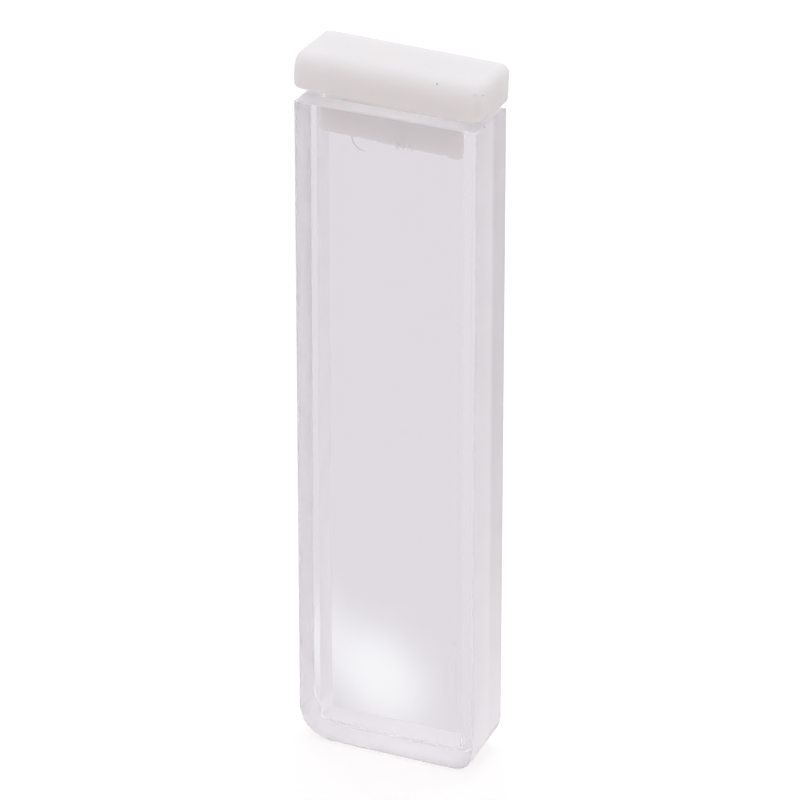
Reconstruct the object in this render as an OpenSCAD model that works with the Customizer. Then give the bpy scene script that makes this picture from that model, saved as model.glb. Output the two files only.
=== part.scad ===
// Spectrophotometer cuvette: a fused glass cell with a short light path, and a PTFE lid whose plug hangs in
// its mouth. The origin is the middle of the base, +Z points up out of the mouth, the windows face -Y and +Y,
// and the side walls face -X and +X.

/* [Cell] */
// Outside width, from side wall to side wall
cell_w = 12.5; // [9:0.1:25]
// Height from base to rim
cell_h = 45; // [25:0.5:60]
// Light path: inside depth between the two windows
path_length = 2; // [1.5:0.1:10]
// Thickness of the front window and of the back window
window_t = 1.25; // [0.8:0.05:2]
// Thickness of each side wall
side_t = 1.25; // [0.8:0.05:2]
// Thickness of the floor
floor_t = 1.25; // [0.8:0.05:3]
// Width of the flat ground along the outside edges
edge_bevel = 0.08; // [0.05:0.01:0.3]

/* [Lower corners] */
// Radius ground on the left lower corner
left_corner_r = 2.3; // [0.5:0.1:2.6]
// Radius ground on the right lower corner at the front window
right_front_r = 1.45; // [0.5:0.05:2.6]
// Radius ground on the right lower corner at the back window
right_back_r = 2.2; // [0.5:0.05:2.6]

/* [Lid] */
// How far the lid reaches past each side wall
lid_side_overhang = 0.1; // [0:0.05:1]
// How far the lid reaches past each window
lid_window_overhang = 0.2; // [0:0.05:1]
// Thickness of the lid above its plug
lid_t = 2.4; // [2:0.1:5]
// Rounding of the long upper edge at the front
lid_front_r = 0.8; // [0.4:0.05:0.95]
// Rounding of all the other edges
lid_edge_r = 0.4; // [0.1:0.05:0.6]

/* [Plug] */
// How far the plug reaches below the lid
plug_h = 3.1; // [2:0.1:6]
// Least room between the plug and a side wall, as the lid leans
plug_side_gap = 0.05; // [0.03:0.01:0.3]
// Room between the plug and each window
plug_window_gap = 0.1; // [0.03:0.01:0.3]

/* [Seat] */
// Height of the lid's middle above the rim, as it stands in the mouth
lid_lift = 0.7; // [0.5:0.05:1.5]
// Lean of the lid towards its right end, in degrees
lid_lean = 2; // [0:0.1:2]

/* [Hidden] */
cell_d = path_length + 2 * window_t;
cavity_w = cell_w - 2 * side_t;
lid_w = cell_w + 2 * lid_side_overhang;
lid_d = cell_d + 2 * lid_window_overhang;
// The plug is narrower than its room by what its leaning height takes up
plug_w = (cavity_w - 2 * plug_side_gap - plug_h * sin(lid_lean)) / cos(lid_lean);
plug_d = path_length - 2 * plug_window_gap;
// Steps along each rounded corner, and along each rounded edge of the slab
corner_steps = 18;
edge_steps = 8;
// How far a cutter runs past the face that it opens
cut_over = 1;
// How far the plug's root runs up into the slab
plug_root = 0.5;

// Points of a quarter arc about (x, y), from angle a to a + 90
function quarter_arc(x, y, r, a, steps) =
    [for (i = [0:steps]) [x + r * cos(a + 90 * i / steps), y + r * sin(a + 90 * i / steps)]];

// Two triangles between point j of one loop of n points and point j of the next loop
function wall_pair(i, j, n) =
    let (low = i * n, high = low + n, k = (j + 1) % n)
    [[low + j, high + j, high + k], [low + j, high + k, low + k]];

// A solid skinned over a stack of loops, each with as many points as the first
module loft(loops) {
    n = len(loops[0]);
    last = len(loops) - 1;
    walls = [for (i = [0:last - 1], j = [0:n - 1]) each wall_pair(i, j, n)];
    first_cap = [for (j = [0:n - 1]) j];
    last_cap = [for (j = [n - 1:-1:0]) last * n + j];
    polyhedron(points = [for (loop = loops) each loop], faces = concat([first_cap], walls, [last_cap]));
}

// Outline of the body at depth y, drawn in by inset, with its two lower corners rounded
function body_loop(y, inset, right_r) =
    let (
        left = left_corner_r - cell_w / 2,
        right = cell_w / 2 - right_r,
        side = cell_w / 2 - inset,
        top = cell_h - inset
    )
    [for (p = concat(
        quarter_arc(left, left_corner_r, left_corner_r - inset, 180, corner_steps),
        quarter_arc(right, right_r, right_r - inset, 270, corner_steps),
        [[side, top - edge_bevel], [side - edge_bevel, top]],
        [[edge_bevel - side, top], [-side, top - edge_bevel]]
    )) [p.x, y, p.y]];

// The outside of the cell: the right lower corner is ground rounder towards the back
module body() {
    face = cell_d / 2;
    loft([
        body_loop(face, edge_bevel, right_back_r),
        body_loop(face - edge_bevel, 0, right_back_r),
        body_loop(edge_bevel - face, 0, right_front_r),
        body_loop(-face, edge_bevel, right_front_r)
    ]);
}

// The space for the sample, open at the rim
module cavity() {
    translate([-cavity_w / 2, -path_length / 2, floor_t])
        cube([cavity_w, path_length, cell_h - floor_t + cut_over]);
}

module cell() {
    color([0.87, 0.85, 0.88, 0.4])
        difference() {
            body();
            cavity();
        }
}

// How far an edge of radius r is drawn in, where the nearest flat is gap away
function edge_inset(gap, r) = gap >= r ? 0 : r - sqrt(r * r - (r - gap) * (r - gap));

// Outline of the slab at height z, drawn in by front at the front and by inset elsewhere
function slab_loop(z, front, inset) =
    let (
        x = lid_w / 2 - inset - lid_edge_r,
        back_y = lid_d / 2 - inset - lid_edge_r,
        front_y = front + lid_edge_r - lid_d / 2
    )
    [for (p = concat(
        quarter_arc(-x, front_y, lid_edge_r, 180, edge_steps),
        quarter_arc(x, front_y, lid_edge_r, 270, edge_steps),
        quarter_arc(x, back_y, lid_edge_r, 0, edge_steps),
        quarter_arc(-x, back_y, lid_edge_r, 90, edge_steps)
    )) [p.x, p.y, z]];

// The slab that covers the rim, with its underside at z = 0
module slab() {
    top_r = max(lid_front_r, lid_edge_r);
    low_gaps = [for (i = [0:edge_steps]) lid_edge_r * (1 - cos(90 * i / edge_steps))];
    top_gaps = [for (i = [edge_steps:-1:0]) top_r * (1 - cos(90 * i / edge_steps))];
    loft(concat(
        [for (g = low_gaps) slab_loop(g, edge_inset(g, lid_edge_r), edge_inset(g, lid_edge_r))],
        [for (g = top_gaps) slab_loop(lid_t - g, edge_inset(g, lid_front_r), edge_inset(g, lid_edge_r))]
    ));
}

// The plug that hangs in the mouth
module plug() {
    translate([-plug_w / 2, -plug_d / 2, -plug_h])
        cube([plug_w, plug_d, plug_h + plug_root]);
}

// The lid leans about the middle of its plug
module lid() {
    color([0.93, 0.92, 0.93])
        translate([0, 0, cell_h + lid_lift - plug_h / 2])
            rotate([0, lid_lean, 0])
                translate([0, 0, plug_h / 2])
                    union() {
                        slab();
                        plug();
                    }
}

cell();
lid();
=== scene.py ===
import math

import bmesh
import bpy
from mathutils import Matrix, Vector, noise


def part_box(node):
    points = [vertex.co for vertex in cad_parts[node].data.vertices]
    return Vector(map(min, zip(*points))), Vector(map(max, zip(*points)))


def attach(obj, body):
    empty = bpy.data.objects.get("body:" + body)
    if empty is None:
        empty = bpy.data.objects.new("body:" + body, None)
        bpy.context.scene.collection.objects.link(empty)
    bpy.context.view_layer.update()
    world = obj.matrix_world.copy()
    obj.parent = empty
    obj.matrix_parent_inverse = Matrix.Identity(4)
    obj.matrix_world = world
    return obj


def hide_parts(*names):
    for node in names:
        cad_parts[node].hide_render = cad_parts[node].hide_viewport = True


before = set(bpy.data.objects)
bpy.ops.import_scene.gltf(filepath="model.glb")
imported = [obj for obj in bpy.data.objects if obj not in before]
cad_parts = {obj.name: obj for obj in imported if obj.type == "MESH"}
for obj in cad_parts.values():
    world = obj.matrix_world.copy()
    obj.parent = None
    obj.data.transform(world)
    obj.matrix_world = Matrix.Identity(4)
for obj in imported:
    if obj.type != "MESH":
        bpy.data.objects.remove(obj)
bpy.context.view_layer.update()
scene = bpy.context.scene

# Sizes and places are in millimetres in the frame's own axes, unless a comment says metres
MM = 0.001

# ---------------------------------------------------------------- cell sizes
cell_low, cell_high = (Vector(v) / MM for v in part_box("cell"))
CELL_W = cell_high.x - cell_low.x
CELL_D = cell_high.y - cell_low.y
CELL_H = cell_high.z - cell_low.z
PATH = 2.0
SIDE_T = 1.25
FLOOR_T = 1.25
CAVITY_W = CELL_W - 2 * SIDE_T
# How far in the flat ground along the outside edges reaches, and the rounding where it ends
BEVEL = 0.08
SOFT_EDGE = 0.02
# Radii ground on the lower corners
LEFT_R = 2.3
RIGHT_FRONT_R = 1.45
RIGHT_BACK_R = 2.2
CORNER_STEPS = 28
# A ground face is rim or base where its normal's z is above the first or below the second
RIM_SLOPE = 0.95
BASE_SLOPE = -0.15
# Edges that bend more than this are rounded, and those that bend more than the next are shaded sharp
SHARP_EDGE = math.radians(20)
SMOOTH_LIMIT = math.radians(35)
# Faces of more than this many square millimetres are shaded flat
FLAT_AREA = 6

# ---------------------------------------------------------------- lid sizes
LID_SIDE_OVERHANG = 0.1
LID_WINDOW_OVERHANG = 0.2
LID_W = CELL_W + 2 * LID_SIDE_OVERHANG
LID_D = CELL_D + 2 * LID_WINDOW_OVERHANG
LID_T = 2.39
# How much thicker the slab is at its right end than at its left end
LID_TAPER = 0.2
# Roundings: upper front edge, edges in general, lower edges at the front and right, upright right front
# corner, upper edge of the right end
LID_FRONT_R = 1.2
LID_EDGE_R = 0.4
LID_LOW_R = 0.15
LID_RIGHT_R = 1.0
LID_END_R = 0.6
LID_EDGE_STEPS = 12
LID_CORNER_STEPS = 10
# Parts that the slab's long, short and upright sides are split into, so that they can be uneven
LONG_PARTS = 48
SHORT_PARTS = 16
UPRIGHT_PARTS = 5
# Extra loops on the slab's underside and its top: how far in, and the share of it away from the front
UNDER_INSETS = (0.9, 0.6)
TOP_INSETS = (0.25, 0.6, 0.9)
TOP_SHARE = 0.8
# Height of the slab's unevenness, and how far its skin sinks so that this stays inside
LID_WANDER = 0.02
LID_SINK = 1.2 * LID_WANDER
WANDER_SEED = 5
# Height of the slab's middle above the rim, and its lean towards the right end
LID_LIFT = 0.7
LID_LEAN = math.radians(1.95)

PLUG_SIDE_GAP = 0.05
PLUG_WINDOW_GAP = 0.1
PLUG_H = 3.1
PLUG_W = (CAVITY_W - 2 * PLUG_SIDE_GAP - PLUG_H * math.sin(LID_LEAN)) / math.cos(LID_LEAN)
PLUG_D = PATH - 2 * PLUG_WINDOW_GAP
PLUG_COLUMNS = 120
# How far the plug's root runs up into the slab
PLUG_ROOT = 0.2
# What was trimmed off the lower edge left of the tab, off the tab, and off the left end
PLUG_TRIM = 0.1
TAB_TRIM = 0.01
PLUG_TRIM_LEFT = 0.1
# The right end is drawn out to follow the cell's wall: its foot, its head, and over what length
PLUG_FOOT = 0.13
PLUG_HEAD = 0.015
PLUG_END = 0.5
# The lower edge's profile: a nick along both sides, its rise at the back nick and at the back face, and
# how far its front is set back and uneven
PLUG_NICK = 0.02
PLUG_RISE = 0.015
PLUG_BACK_RISE = 0.04
PLUG_ROUGH = 0.012
# Unevenness of the lower edge: height, waves to the millimetre and seed, and how far down it may go
RAGGED = [(0.05, 1.7, 3), (0.035, 6, 7)]
RAGGED_LOW = 0.02
# The tab starts at TAB_X, over TAB_SLOPE, and its corner is cut off from TAB_CORNER on
TAB_X = 3.9
TAB_SLOPE = 0.25
TAB_CORNER = 4.45
TAB_CUT = 0.2

# A thread of swarf under the plug, by x and by z from the slab's underside, and the share of its radius
# that it loses towards its end
THREAD_KNOTS = [(-2.6, -2.9), (-2.55, -3.15), (-2.42, -3.4), (-2.16, -3.66), (-1.95, -3.75), (-1.66, -3.73)]
THREAD_STEPS = 8
THREAD_SIDES = 6
THREAD_R = 0.02
THREAD_TAPER = 0.5
THREAD_Y = -0.86
# Flakes under the plug: place along it, length, width and sideways curl
BURRS = [(0.42, 0.1, 0.06, 0.04), (0.55, 0.24, 0.07, -0.03), (0.66, 0.14, 0.05, 0.02),
         (0.88, 0.18, 0.08, 0.05), (1.28, 0.12, 0.09, -0.05), (1.47, 0.2, 0.06, 0.03)]
BURR_STEPS = 5
BURR_THICK = 0.03
# How far a flake's tip stands out from the plug, how far its root is set back from there and how far up
# the plug it starts, and the share of its width that it loses towards its tip
BURR_OUT = 1.3 * BURR_THICK
BURR_BACK = 0.06
BURR_ROOT = 0.3
BURR_TAPER = 0.75

# ---------------------------------------------------------------- colours and finishes
GLASS_IOR = 1.46
GLASS_TINT = (0.75, 0.708, 0.752, 1)
GLASS_DRIFT = (0.742, 0.72, 0.754, 1)
GLASS_HAZE = 0.02
CAVITY_TINT = (0.97, 0.97, 0.975, 1)
# Smudges on the front window: centre, size and fade
GLASS_MARKS = [((4.913, -2.25, 9.282), (0.28, 0.5, 0.3), 0.06),
               ((1.939, -2.25, 9.775), (0.07, 0.5, 0.16), 0.1)]
# A patch of faint upright streaks, low on the front window
STREAK_AT = (4.8, -2.25, 6.3)
STREAK_SIZE = (1.0, 0.5, 3.2)
STREAK_DEPTH = 0.05

# Ground glass lets this share of the light through, and scatters the rest as a matt surface does
GROUND_CLEAR = 0.75
GROUND_TINT = (0.885, 0.861, 0.89, 1)
# Painted shade: the back bevel's tint is darker than the other ground faces', so that its edges show as
# dark lines through the glass
BACK_EDGE_SHADE_TINT = (0.82, 0.81, 0.82, 1)
# Painted light: the rim's tint is lighter than the other ground faces', for the rim where it lies in the
# lid's shade
RIM_PAINTED_LIGHT_TINT = (0.905, 0.885, 0.895, 1)
# Painted light: the base's tint is lighter than the other ground faces', for the bright band along the
# bottom
BASE_PAINTED_LIGHT_TINT = (0.99, 0.97, 0.98, 1)
# Roughness from the finest to the coarsest patch of a ground face, and the strength of its grain
FINE_GRIT = (0.44, 0.56)
BASE_GRIT = (0.9, 1.0)
GRAIN = 0.1
# Painted shade on the right side: its back half is darker, and the shade grows from front to back, upwards
# and to the right
SIDE_PAINTED_SHADE = 0.27
SIDE_FADE_Y = (0.0, 0.5)
SIDE_FADE_Z = (-1.5, 23.7)
SIDE_FADE_X = (6.1, 6.2)
# A chip in the rim's right edge: centre, size and fade
RIM_CHIP = ((6.219, -1.049, 44.951), (0.08, 0.12, 0.08), 0.6)

PTFE_IOR = 1.36
PTFE_DARK = (0.817, 0.789, 0.793, 1)
PTFE_LIGHT = (0.847, 0.819, 0.823, 1)
# The plug's colours are painted shade: darker than the slab's, for the plug that hangs in the shaded mouth
# under the slab
PLUG_SHADED_DARK = (0.79, 0.765, 0.75, 1)
PLUG_SHADED_LIGHT = (0.85, 0.825, 0.81, 1)
# How far light spreads under the skin of the slab and of the plug, in metres
PTFE_DEPTH = 0.003
PLUG_DEPTH = 0.0006
# The slab's look turns into the plug's from NECK_TOP above the rim down, over NECK_H: the colour darkens
# into the plug's painted shade, and light spreads less far under the skin
NECK_TOP = 0.35
NECK_H = 0.5
# Painted shade: how much darker the skin's colour is where it is seen edge on
EDGE_PAINTED_SHADE = 0.45
# Specks and smudges on the lid: centre, size and fade
LID_MARKS = [((3.462, -2.057, 47.7), (0.09, 0.12, 0.09), 0.5),
             ((6.021, -2.065, 47.384), (0.2, 0.25, 0.08), 0.12),
             ((6.372, -1.653, 47.291), (0.15, 0.22, 0.07), 0.2),
             ((6.15, -2.0, 46.5), (0.3, 0.4, 1.0), 0.03)]
THREAD_COLOUR = (0.36, 0.34, 0.34, 1)
BURR_COLOUR = (0.97, 0.96, 0.965, 1)
# A patch keeps its full fade out to this share of its size
SPOT_CORE = 0.3

# ---------------------------------------------------------------- studio values
FLOOR_R = 600
FLOOR_SIDES = 96
FLOOR_DROP = 0.03
FLOOR_WHITE = (0.77, 0.69, 0.685, 1)
# What the camera sees added to the floor, so that it shows white and keeps a shadow
FLOOR_LIFT = 0.4
LIFT_COLOUR = (0.865, 1, 0.985, 1)
WHITE = (1, 1, 1, 1)
WORLD_LIGHT = 0.75
WORLD_COLOUR = (0.98, 0.985, 1, 1)
# The softbox, in metres and watts
SOFTBOX_AT = (-0.05, 0.2, 0.6)
SOFTBOX_AIM = (0, 0, 0.02)
SOFTBOX_SIZE = 0.5
SOFTBOX_WATTS = 0.95
SOFTBOX_COLOUR = (0.93, 0.97, 1)
# The glow seen low in the glass: its centre, turn and spread, with the lamp cut off at GLOW_REACH spreads
GLOW = 0.3
GLOW_COLOUR = (0.97, 1.15, 1)
GLOW_AT = (-5.6, 9.8)
GLOW_TURN = math.radians(34)
GLOW_ACROSS = 2.0
GLOW_ALONG = 6.2
GLOW_REACH = 2.6
GLOW_STEEPNESS = 1.3
GLOW_DROP = 0.015
# The camera's bearing from the front and its height as angles in radians, its distance and its target
CAMERA_BEARING = 0.436953
CAMERA_RISE = 0.446554
CAMERA_DISTANCE = 341.649
CAMERA_TARGET = (0, 0, 24.644)
LENS = 241.498
SENSOR = 36


# ---------------------------------------------------------------- helpers
def quarter_arc(x, y, r, a, steps):
    """Points of a quarter arc about (x, y), from angle a to a + 90 degrees."""
    angles = [math.radians(a + 90 * i / steps) for i in range(steps + 1)]
    return [(x + r * math.cos(t), y + r * math.sin(t)) for t in angles]


def loft(bm, loops):
    """Faces over a stack of loops of equal length. Returns the walls by (loop, point), and the two caps."""
    rings = [[bm.verts.new(p) for p in loop] for loop in loops]
    n = len(rings[0])
    walls = {}
    for i, (low, high) in enumerate(zip(rings, rings[1:])):
        for j in range(n):
            k = (j + 1) % n
            walls[i, j] = bm.faces.new((low[j], low[k], high[k], high[j]))
    caps = bm.faces.new(rings[0][::-1]), bm.faces.new(rings[-1])
    return walls, caps


def finish_mesh(bm, name, materials):
    """Writes a mesh in millimetres out as an object in metres."""
    bmesh.ops.recalc_face_normals(bm, faces=bm.faces)
    bmesh.ops.scale(bm, vec=(MM, MM, MM), verts=bm.verts)
    mesh = bpy.data.meshes.new(name)
    bm.to_mesh(mesh)
    bm.free()
    for material in materials:
        mesh.materials.append(material)
    obj = bpy.data.objects.new(name, mesh)
    scene.collection.objects.link(obj)
    return obj


class Nodes:
    """Adds shader nodes to a tree. A value that is a socket is linked, and any other is set."""

    def __init__(self, tree):
        self.tree = tree

    def give(self, socket, value):
        if isinstance(value, bpy.types.NodeSocket):
            self.tree.links.new(value, socket)
        else:
            socket.default_value = value

    def add(self, kind, values=None, **settings):
        """Adds a node. Its settings come first, because they decide what its sockets are."""
        node = self.tree.nodes.new("ShaderNode" + kind)
        for key, value in settings.items():
            setattr(node, key, value)
        for key, value in (values or {}).items():
            self.give(node.inputs[key], value)
        return node

    def math(self, operation, *values):
        return self.add("Math", dict(enumerate(values)), operation=operation).outputs[0]

    def vector(self, operation, a, b):
        return self.add("VectorMath", {0: a, 1: b}, operation=operation).outputs[0]

    def ramp(self, value, start, end, at_start=0.0, at_end=1.0, **settings):
        """Goes from at_start, where the value is at start, to at_end, where it is at end."""
        values = {"Value": value, "From Min": start, "From Max": end, "To Min": at_start, "To Max": at_end}
        return self.add("MapRange", values, **settings).outputs["Result"]

    def mix(self, factor, a, b, **settings):
        values = {"Factor": factor, "A": a, "B": b}
        return self.add("Mix", values, data_type="RGBA", **settings).outputs["Result"]

    def object_coords(self):
        return self.add("TexCoord").outputs["Object"]

    def clouds(self, coords, scale, detail):
        """Cloudy noise, with about this many patches to the metre."""
        return self.add("TexNoise", {"Vector": coords, "Scale": scale, "Detail": detail}).outputs["Fac"]

    def spot(self, coords, centre, size, fade):
        """A factor that drops by fade in a small oval patch about a point of the object."""
        offset = self.vector("SUBTRACT", coords, Vector(centre) * MM)
        scaled = self.vector("DIVIDE", offset, Vector(size) * MM)
        reach = self.add("VectorMath", {0: scaled}, operation="LENGTH").outputs["Value"]
        return self.ramp(reach, SPOT_CORE, 1.0, 1 - fade, 1.0, interpolation_type="SMOOTHSTEP")

    def marked(self, colour, factors):
        """A colour darkened by a list of factors."""
        total = factors[0]
        for factor in factors[1:]:
            total = self.math("MULTIPLY", total, factor)
        return self.mix(1.0, colour, total, blend_type="MULTIPLY")


def new_material(name):
    """An empty material and its nodes."""
    material = bpy.data.materials.new(name)
    material.use_nodes = True
    material.node_tree.nodes.clear()
    return material, Nodes(material.node_tree)


# ---------------------------------------------------------------- materials
def streaks(n, coords):
    """A factor with faint upright lines in one patch of the front window."""
    drawn_out = n.vector("MULTIPLY", coords, (1, 1, 0.05))
    depth = n.ramp(n.clouds(drawn_out, 6000, 2), 0.45, 0.7, 0.0, STREAK_DEPTH)
    outside = n.spot(coords, STREAK_AT, STREAK_SIZE, 1.0)
    shown = n.math("MULTIPLY", n.math("SUBTRACT", 1.0, outside), depth)
    return n.math("SUBTRACT", 1.0, shown)


def polished_surface(n, coords, tint):
    """Clear glass, with a slight haze in places."""
    haze = n.ramp(n.clouds(coords, 900, 4), 0.35, 0.75, 0.0, GLASS_HAZE)
    bsdf = n.add("BsdfPrincipled", {"Base Color": tint, "Roughness": haze, "IOR": GLASS_IOR,
                                    "Transmission Weight": 1.0})
    n.add("OutputMaterial", {"Surface": bsdf.outputs["BSDF"]})


def window_glass():
    material, n = new_material("window_glass")
    coords = n.object_coords()
    tint = n.mix(n.clouds(coords, 90, 3), GLASS_TINT, GLASS_DRIFT)
    tint = n.marked(tint, [streaks(n, coords)] + [n.spot(coords, *mark) for mark in GLASS_MARKS])
    polished_surface(n, coords, tint)
    return material


def cavity_glass():
    material, n = new_material("cavity_glass")
    polished_surface(n, n.object_coords(), CAVITY_TINT)
    return material


def painted_side_shade(n, coords):
    """A factor of painted shade that darkens the back half of the right side, more towards the top."""
    place = n.add("SeparateXYZ", {"Vector": coords}).outputs
    back = n.ramp(place["Y"], SIDE_FADE_Y[0] * MM, SIDE_FADE_Y[1] * MM, 0.0, SIDE_PAINTED_SHADE)
    high = n.ramp(place["Z"], SIDE_FADE_Z[0] * MM, SIDE_FADE_Z[1] * MM)
    right = n.ramp(place["X"], SIDE_FADE_X[0] * MM, SIDE_FADE_X[1] * MM)
    return n.math("SUBTRACT", 1.0, n.math("MULTIPLY", n.math("MULTIPLY", back, high), right))


def ground_glass(name, tint, grain, grit):
    """Glass left grey by the grinding wheel: light comes through, but no picture does."""
    material, n = new_material(name)
    coords = n.object_coords()
    # The tint carries the right side's painted shade and the chip in the rim
    tint = n.marked(tint, [painted_side_shade(n, coords), n.spot(coords, *RIM_CHIP)])
    bump = n.add("Bump", {"Height": n.clouds(coords, 12000, 3), "Strength": grain, "Distance": 0.00001})
    rough = n.ramp(n.clouds(coords, 300, 5), 0.3, 0.7, *grit)
    bsdf = n.add("BsdfPrincipled", {"Base Color": tint, "Roughness": rough, "IOR": GLASS_IOR,
                                    "Transmission Weight": GROUND_CLEAR, "Normal": bump.outputs["Normal"]})
    n.add("OutputMaterial", {"Surface": bsdf.outputs["BSDF"]})
    return material


def ptfe():
    """White PTFE. Where the plug hangs in the mouth, light spreads less far under its skin, and its colour
    is greyer as painted shade.
    """
    material, n = new_material("ptfe")
    coords = n.object_coords()
    cloud = n.clouds(coords, 500, 5)
    height = n.add("SeparateXYZ", {"Vector": coords}).outputs["Z"]
    neck = CELL_H + NECK_TOP
    # From the neck down, the colour turns to the plug's painted shade and light spreads less far
    low = n.ramp(height, neck * MM, (neck - NECK_H) * MM)
    slab = n.mix(cloud, PTFE_DARK, PTFE_LIGHT)
    plug = n.mix(cloud, PLUG_SHADED_DARK, PLUG_SHADED_LIGHT)
    # Painted shade: the colour darkens where the skin is seen edge on
    facing = n.add("LayerWeight", {"Blend": 0.5}).outputs["Facing"]
    edge = n.ramp(facing, 0.75, 1.0, 1.0, 1 - EDGE_PAINTED_SHADE)
    colour = n.marked(n.mix(low, slab, plug), [edge] + [n.spot(coords, *mark) for mark in LID_MARKS])
    depth = n.ramp(low, 0.0, 1.0, PTFE_DEPTH, PLUG_DEPTH)
    bump = n.add("Bump", {"Height": cloud, "Strength": 0.15, "Distance": 0.00005})
    bsdf = n.add("BsdfPrincipled", {"Base Color": colour, "Roughness": 0.6, "IOR": PTFE_IOR,
                                    "Specular IOR Level": 0.25, "Subsurface Weight": 1.0,
                                    "Subsurface Radius": (1, 0.9, 0.85), "Subsurface Scale": depth,
                                    "Normal": bump.outputs["Normal"]})
    n.add("OutputMaterial", {"Surface": bsdf.outputs["BSDF"]})
    return material


def ptfe_scrap(name, colour):
    """A thread or flake of PTFE, too thin for light to spread in."""
    material, n = new_material(name)
    tone = n.ramp(n.clouds(n.object_coords(), 4000, 3), 0.0, 1.0, 0.85, 1.0)
    bsdf = n.add("BsdfPrincipled", {"Base Color": n.marked(colour, [tone]), "Roughness": 0.5})
    n.add("OutputMaterial", {"Surface": bsdf.outputs["BSDF"]})
    return material


def ray_kinds(n):
    """Two factors: 1 for a ray from the camera, and 1 for one from gloss or through glass."""
    path = n.add("LightPath").outputs
    return path["Is Camera Ray"], n.math("MAXIMUM", path["Is Glossy Ray"], path["Is Transmission Ray"])


def pale_floor():
    """A matt floor that keeps the shadow, and is plain white in gloss and through glass."""
    material, n = new_material("pale_floor")
    camera, glass = ray_kinds(n)
    matt = n.add("BsdfDiffuse", {"Color": FLOOR_WHITE})
    lift = n.add("Emission", {"Color": LIFT_COLOUR, "Strength": n.math("MULTIPLY", camera, FLOOR_LIFT)})
    lifted = n.add("AddShader", {0: matt.outputs[0], 1: lift.outputs[0]})
    white = n.add("Emission", {"Color": WHITE, "Strength": 1.0})
    floor = n.add("MixShader", {0: glass, 1: lifted.outputs[0], 2: white.outputs[0]})
    n.add("OutputMaterial", {"Surface": floor.outputs[0]})
    material.cycles.emission_sampling = "NONE"
    return material


# ---------------------------------------------------------------- cell
WINDOW, GROUND, CAVITY, BACK_EDGE, RIM, BASE = range(6)


def cell_materials():
    """The cell's materials, in the order of the numbers above."""
    return [window_glass(), ground_glass("ground_glass", GROUND_TINT, GRAIN, FINE_GRIT), cavity_glass(),
            ground_glass("ground_edge", BACK_EDGE_SHADE_TINT, 0.0, FINE_GRIT),
            ground_glass("ground_rim", RIM_PAINTED_LIGHT_TINT, GRAIN, FINE_GRIT),
            ground_glass("ground_base", BASE_PAINTED_LIGHT_TINT, GRAIN, BASE_GRIT)]


def body_loop(y, inset, right_r):
    """Outline of the cell at depth y, drawn in by inset. Its last four points are the rim's bevels."""
    left = LEFT_R - CELL_W / 2
    right = CELL_W / 2 - right_r
    side = CELL_W / 2 - inset
    top = CELL_H - inset
    outline = (quarter_arc(left, LEFT_R, LEFT_R - inset, 180, CORNER_STEPS)
               + quarter_arc(right, right_r, right_r - inset, 270, CORNER_STEPS)
               + [(side, top - BEVEL), (side - BEVEL, top), (BEVEL - side, top), (-side, top - BEVEL)])
    return [(x, y, z) for x, z in outline]


def cut_cavity(bm, rim):
    """Opens the rim's face and hangs the cavity in it. Returns the cavity's faces."""
    corners = sorted(rim.verts, key=lambda v: math.atan2(v.co.y, v.co.x))
    bmesh.ops.delete(bm, geom=[rim], context="FACES_ONLY")
    hx, hy = CAVITY_W / 2, PATH / 2
    mouth = [bm.verts.new((x, y, CELL_H)) for x, y in ((-hx, -hy), (hx, -hy), (hx, hy), (-hx, hy))]
    base = [bm.verts.new((v.co.x, v.co.y, FLOOR_T)) for v in mouth]
    inner = []
    for i in range(4):
        k = (i + 1) % 4
        bm.faces.new((corners[i], corners[k], mouth[k], mouth[i]))
        inner.append(bm.faces.new((mouth[i], mouth[k], base[k], base[i])))
    inner.append(bm.faces.new(base))
    return inner


def glass_number(face, windows, inner, back_edge):
    """Number of the material that a face of the cell has."""
    if face in windows:
        return WINDOW
    if face in inner:
        return CAVITY
    if face in back_edge:
        return BACK_EDGE
    if face.normal.z < BASE_SLOPE:
        return BASE
    return RIM if face.normal.z > RIM_SLOPE else GROUND


def soften_edges(bm, inner):
    """Rounds the outside edges by a hair. The cavity's own edges stay sharp."""
    bent = [e for e in bm.edges if len(e.link_faces) == 2 and e.calc_face_angle() > SHARP_EDGE]
    outer = [e for e in bent if not any(f in inner for f in e.link_faces)]
    bmesh.ops.bevel(bm, geom=outer, offset=SOFT_EDGE, segments=2, profile=0.5, affect="EDGES",
                    material=GROUND, clamp_overlap=True)


def make_cell():
    bm = bmesh.new()
    face = CELL_D / 2
    loops = [body_loop(face, BEVEL, RIGHT_BACK_R), body_loop(face - BEVEL, 0, RIGHT_BACK_R),
             body_loop(BEVEL - face, 0, RIGHT_FRONT_R), body_loop(-face, BEVEL, RIGHT_FRONT_R)]
    walls, windows = loft(bm, loops)
    n = len(loops[0])
    back_edge = {walls[0, j] for j in range(n)}
    # The rim is the wall between the outline's two highest points, which are third and second from its end
    inner = cut_cavity(bm, walls[1, n - 3])
    bmesh.ops.recalc_face_normals(bm, faces=bm.faces)
    for f in bm.faces:
        f.material_index = glass_number(f, windows, inner, back_edge)
        f.smooth = True
    soften_edges(bm, inner)
    for f in bm.faces:
        if f.calc_area() > FLAT_AREA:
            f.smooth = False
    obj = finish_mesh(bm, "glass_cell", cell_materials())
    obj.data.set_sharp_from_angle(angle=SMOOTH_LIMIT)
    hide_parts("cell")
    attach(obj, "cell")


# ---------------------------------------------------------------- lid
def lid_frame():
    """Turns points of the lid, with its underside at z = 0, into the frame's millimetres."""
    return (Matrix.Translation((0, 0, CELL_H + LID_LIFT - PLUG_H / 2)) @ Matrix.Rotation(LID_LEAN, 4, "Y")
            @ Matrix.Translation((0, 0, PLUG_H / 2)))


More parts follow.
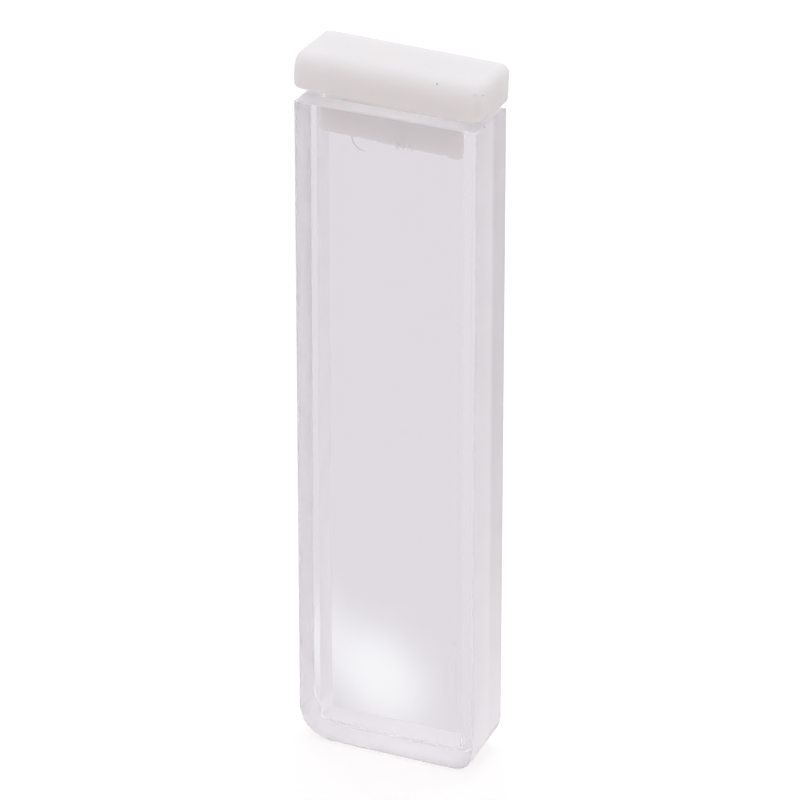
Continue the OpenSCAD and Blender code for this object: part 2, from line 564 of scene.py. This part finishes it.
def edge_inset(gap, r):
    """How far an edge of radius r is drawn in, where the nearest flat is gap away."""
    return 0 if gap >= r else r - math.sqrt(r * r - (r - gap) ** 2)


def edge_gaps(r):
    """Distances from a flat along a quarter round of radius r, from none to r."""
    return [r * (1 - math.cos(math.pi / 2 * i / LID_EDGE_STEPS)) for i in range(LID_EDGE_STEPS + 1)]


def slab_loop(z, front, inset, right):
    """Outline of the slab at height z, drawn in at the front, at the back and left, and at the right."""
    left_x = inset - LID_W / 2 + LID_EDGE_R
    right_x = LID_W / 2 - right
    back_y = LID_D / 2 - inset - LID_EDGE_R
    front_y = front - LID_D / 2
    arcs = [quarter_arc(left_x, front_y + LID_EDGE_R, LID_EDGE_R, 180, LID_CORNER_STEPS),
            quarter_arc(right_x - LID_RIGHT_R, front_y + LID_RIGHT_R, LID_RIGHT_R, 270, LID_CORNER_STEPS),
            quarter_arc(right_x - LID_EDGE_R, back_y, LID_EDGE_R, 0, LID_CORNER_STEPS),
            quarter_arc(left_x, back_y, LID_EDGE_R, 90, LID_CORNER_STEPS)]
    outline = []
    for i, arc in enumerate(arcs):
        end, start = Vector(arc[-1]), Vector(arcs[(i + 1) % 4][0])
        parts = LONG_PARTS if i % 2 == 0 else SHORT_PARTS
        outline += arc + [tuple(end.lerp(start, k / parts)) for k in range(1, parts)]
    return [(x, y, z) for x, y in outline]


def slab_rows():
    """Heights of the slab's loops, from its underside to its top, with what each is drawn in by."""
    rows = [(0, d, d, d) for d in UNDER_INSETS]
    for gap in edge_gaps(LID_EDGE_R):
        low = edge_inset(gap, LID_LOW_R)
        rows.append((gap, low, edge_inset(gap, LID_EDGE_R), low))
    upright = LID_T - LID_FRONT_R - LID_EDGE_R
    rows += [(LID_EDGE_R + upright * i / UPRIGHT_PARTS, 0, 0, 0) for i in range(1, UPRIGHT_PARTS)]
    for gap in reversed(edge_gaps(LID_FRONT_R)):
        rows.append((LID_T - gap, *(edge_inset(gap, r) for r in (LID_FRONT_R, LID_EDGE_R, LID_END_R))))
    rows += [(LID_T, LID_FRONT_R + d, LID_EDGE_R + d * TOP_SHARE, LID_END_R + d * TOP_SHARE)
             for d in TOP_INSETS]
    return rows


def wander(p):
    """A slow and a quick unevenness, about -1 to 1, of a surface that was cut by hand."""
    q = p + Vector((WANDER_SEED, 0, 0))
    return noise.noise(q * 0.45) + 0.35 * noise.noise(q * 1.9)


def make_slab():
    bm = bmesh.new()
    loft(bm, [slab_loop(*row) for row in slab_rows()])
    bm.normal_update()
    for v in bm.verts:
        share = max(0, (v.co.z - LID_EDGE_R) / (LID_T - LID_EDGE_R))
        shift = v.normal * (wander(v.co) * LID_WANDER - LID_SINK)
        v.co.z += share * LID_TAPER * v.co.x / LID_W
        v.co += shift
    return bm


def plug_bottom(x):
    """Height of the plug's lower edge, which was trimmed short all along but for a tab at its right end."""
    tab = min(1, max(0, (x - TAB_X) / TAB_SLOPE))
    trim = (1 - tab) * PLUG_TRIM + tab * TAB_TRIM
    corner = TAB_CUT * max(0, (x - TAB_CORNER) / (PLUG_W / 2 - TAB_CORNER))
    ragged = sum(height * noise.noise((x * pace, seed, 0)) for height, pace, seed in RAGGED)
    return -PLUG_H + trim + max(ragged, -RAGGED_LOW) + RAGGED_LOW + corner


def make_plug():
    bm = bmesh.new()
    hx, hy = PLUG_W / 2, PLUG_D / 2
    left = PLUG_TRIM_LEFT - hx
    rows = []
    for i in range(PLUG_COLUMNS + 1):
        x = left + (hx - left) * i / PLUG_COLUMNS
        z = plug_bottom(x)
        front = -hy + PLUG_ROUGH + PLUG_ROUGH * noise.noise((x * 5, 1, 0))
        end = max(0, 1 - (hx - x) / PLUG_END)
        foot = x + PLUG_FOOT * end
        head = x + PLUG_HEAD * end
        rows.append([(foot, front, z + PLUG_NICK), (foot, PLUG_NICK - hy, z),
                     (foot, hy - PLUG_NICK, z + PLUG_RISE), (foot, hy, z + PLUG_BACK_RISE),
                     (head, hy, PLUG_ROOT), (head, -hy, PLUG_ROOT)])
    loft(bm, rows)
    return bm


def united(parts):
    """One closed mesh from two closed meshes that overlap."""
    objects = []
    for bm in parts:
        bmesh.ops.recalc_face_normals(bm, faces=bm.faces)
        mesh = bpy.data.meshes.new("part")
        bm.to_mesh(mesh)
        bm.free()
        objects.append(bpy.data.objects.new("part", mesh))
        scene.collection.objects.link(objects[-1])
    body, tool = objects
    join = body.modifiers.new("join", "BOOLEAN")
    join.operation, join.solver, join.object = "UNION", "EXACT", tool
    result = body.evaluated_get(bpy.context.evaluated_depsgraph_get())
    bm = bmesh.new()
    bm.from_mesh(result.to_mesh())
    for obj in objects:
        mesh = obj.data
        bpy.data.objects.remove(obj)
        bpy.data.meshes.remove(mesh)
    return bm


def seated(bm, name, material):
    """A smooth object in the lid's place, from a mesh with the slab's underside at z = 0."""
    for f in bm.faces:
        f.smooth = True
    bmesh.ops.transform(bm, matrix=lid_frame(), verts=bm.verts)
    return finish_mesh(bm, name, [material])


def make_lid():
    obj = seated(united((make_slab(), make_plug())), "ptfe_lid", ptfe())
    obj.data.set_sharp_from_angle(angle=SMOOTH_LIMIT)
    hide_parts("lid")
    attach(obj, "lid")


def curve_point(a, b, c, d, s):
    """The point a share s of the way from b to c, on a smooth curve through a, b, c and d."""
    return 0.5 * (2 * b + (c - a) * s + (2 * a - 5 * b + 4 * c - d) * s ** 2
                  + (3 * b - a - 3 * c + d) * s ** 3)


def thread_loops():
    """Rings along a smooth curve through the thread's knots, each a little smaller than the last."""
    knots = [Vector(p) for p in THREAD_KNOTS]
    guides = [knots[0]] + knots + [knots[-1]]
    points = []
    for four in zip(guides, guides[1:], guides[2:], guides[3:]):
        points += [curve_point(*four, k / THREAD_STEPS) for k in range(THREAD_STEPS)]
    turns = [2 * math.pi * k / THREAD_SIDES for k in range(THREAD_SIDES)]
    loops = []
    for i, p in enumerate(points):
        ahead = (points[min(i + 1, len(points) - 1)] - points[max(i - 1, 0)]).normalized()
        r = THREAD_R * (1 - THREAD_TAPER * i / len(points))
        side = Vector((-ahead.y, ahead.x)) * r
        loops.append([(p.x + side.x * math.cos(a), THREAD_Y + r * math.sin(a), p.y + side.y * math.cos(a))
                      for a in turns])
    return loops


def make_thread():
    """A thread of swarf that curls out from under the plug, near its front."""
    bm = bmesh.new()
    loft(bm, thread_loops())
    obj = seated(bm, "ptfe_thread", ptfe_scrap("ptfe_thread", THREAD_COLOUR))
    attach(obj, "lid")


def burr_loops(x, length, width, curl):
    """A flake that hangs down the plug's front, and gets narrower and curls sideways towards its tip."""
    front = -PLUG_D / 2 - BURR_OUT
    top = plug_bottom(x) + BURR_ROOT
    foot = plug_bottom(x) - length
    loops = []
    for k in range(BURR_STEPS + 1):
        s = k / BURR_STEPS
        half = width / 2 * (1 - BURR_TAPER * s ** 1.5)
        middle = x + curl * s * s
        y = front + BURR_BACK * (1 - s) ** 4
        z = top + (foot - top) * s
        loops.append([(middle - half, y, z), (middle + half, y, z), (middle + half, y + BURR_THICK, z),
                      (middle - half, y + BURR_THICK, z)])
    return loops


def make_burrs():
    """Flakes of PTFE left hanging where the plug's lower front edge was trimmed."""
    bm = bmesh.new()
    for burr in BURRS:
        loft(bm, burr_loops(*burr))
    obj = seated(bm, "ptfe_burrs", ptfe_scrap("ptfe_burrs", BURR_COLOUR))
    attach(obj, "lid")


# ---------------------------------------------------------------- studio
def make_floor():
    bm = bmesh.new()
    bmesh.ops.create_circle(bm, cap_ends=True, segments=FLOOR_SIDES, radius=FLOOR_R)
    bmesh.ops.translate(bm, vec=(0, 0, -FLOOR_DROP), verts=bm.verts)
    obj = finish_mesh(bm, "floor", [pale_floor()])


def make_world():
    """A soft light all round, which is plain white to the camera, in gloss and through glass."""
    world = bpy.data.worlds.new("studio")
    world.use_nodes = True
    n = Nodes(world.node_tree)
    seen = n.math("MAXIMUM", *ray_kinds(n))
    background = world.node_tree.nodes["Background"]
    n.give(background.inputs["Color"], n.mix(seen, WORLD_COLOUR, WHITE))
    n.give(background.inputs["Strength"], n.ramp(seen, 0.0, 1.0, WORLD_LIGHT, 1.0))
    scene.world = world


def place_and_aim(obj, place, direction):
    """Puts a camera or lamp at a place in metres, looking in a direction."""
    obj.location = place
    obj.rotation_mode = "QUATERNION"
    obj.rotation_quaternion = direction.to_track_quat("-Z", "Y")
    scene.collection.objects.link(obj)


def make_camera():
    data = bpy.data.cameras.new("camera")
    data.sensor_width = SENSOR
    data.lens = LENS
    data.clip_start, data.clip_end = 0.01, 10
    level = math.cos(CAMERA_RISE)
    side, front = level * math.sin(CAMERA_BEARING), -level * math.cos(CAMERA_BEARING)
    back = Vector((side, front, math.sin(CAMERA_RISE)))
    obj = bpy.data.objects.new("camera", data)
    place_and_aim(obj, (Vector(CAMERA_TARGET) + back * CAMERA_DISTANCE) * MM, -back)
    scene.camera = obj


def make_softbox():
    data = bpy.data.lights.new("top_softbox", "AREA")
    data.shape = "DISK"
    data.size = SOFTBOX_SIZE
    data.energy = SOFTBOX_WATTS
    data.color = SOFTBOX_COLOUR
    obj = bpy.data.objects.new("top_softbox", data)
    place_and_aim(obj, SOFTBOX_AT, Vector(SOFTBOX_AIM) - Vector(SOFTBOX_AT))


def glow_strength(n):
    """Falls off from 1 at the glow's centre, in an oval."""
    place = n.add("NewGeometry").outputs["Position"]
    offset = n.vector("SUBTRACT", place, (GLOW_AT[0] * MM, GLOW_AT[1] * MM, 0))
    cos, sin = math.cos(GLOW_TURN), math.sin(GLOW_TURN)
    squares = []
    for x, y, spread in ((cos, sin, GLOW_ACROSS), (-sin, cos, GLOW_ALONG)):
        axis = (x / spread / MM, y / spread / MM, 0)
        along = n.add("VectorMath", {0: offset, 1: axis}, operation="DOT_PRODUCT").outputs["Value"]
        squares.append(n.math("POWER", along, 2))
    distance = n.math("POWER", n.math("ADD", *squares), GLOW_STEEPNESS)
    return n.math("EXPONENT", n.math("MULTIPLY", distance, -0.5))


def make_glow():
    """A soft oval glow on the floor behind the cell, which shows only through the glass."""
    data = bpy.data.lights.new("glow_card", "AREA")
    data.shape = "ELLIPSE"
    data.size = 2 * GLOW_REACH * GLOW_ACROSS * MM
    data.size_y = 2 * GLOW_REACH * GLOW_ALONG * MM
    # The watts grow with the oval's area, so that its size doesn't change how bright it looks
    data.energy = GLOW * math.pi * math.pi / 4 * data.size * data.size_y
    data.color = GLOW_COLOUR
    data.use_nodes = True
    n = Nodes(data.node_tree)
    n.give(data.node_tree.nodes["Emission"].inputs["Strength"], glow_strength(n))
    obj = bpy.data.objects.new("glow_card", data)
    obj.location = (GLOW_AT[0] * MM, GLOW_AT[1] * MM, -GLOW_DROP * MM)
    obj.rotation_euler = (math.pi, 0, GLOW_TURN)
    obj.visible_camera = obj.visible_diffuse = obj.visible_glossy = obj.visible_volume_scatter = False
    scene.collection.objects.link(obj)


def set_up_render():
    """Plain colours, and enough bounces for light to run along inside the glass."""
    scene.view_settings.view_transform = "Standard"
    scene.cycles.blur_glossy = 0.0
    scene.cycles.max_bounces = 96
    scene.cycles.transmission_bounces = 64
    scene.cycles.glossy_bounces = 64
    scene.cycles.transparent_max_bounces = 16


make_cell()
make_lid()
make_thread()
make_burrs()
make_floor()
make_world()
make_camera()
make_softbox()
make_glow()
set_up_render()
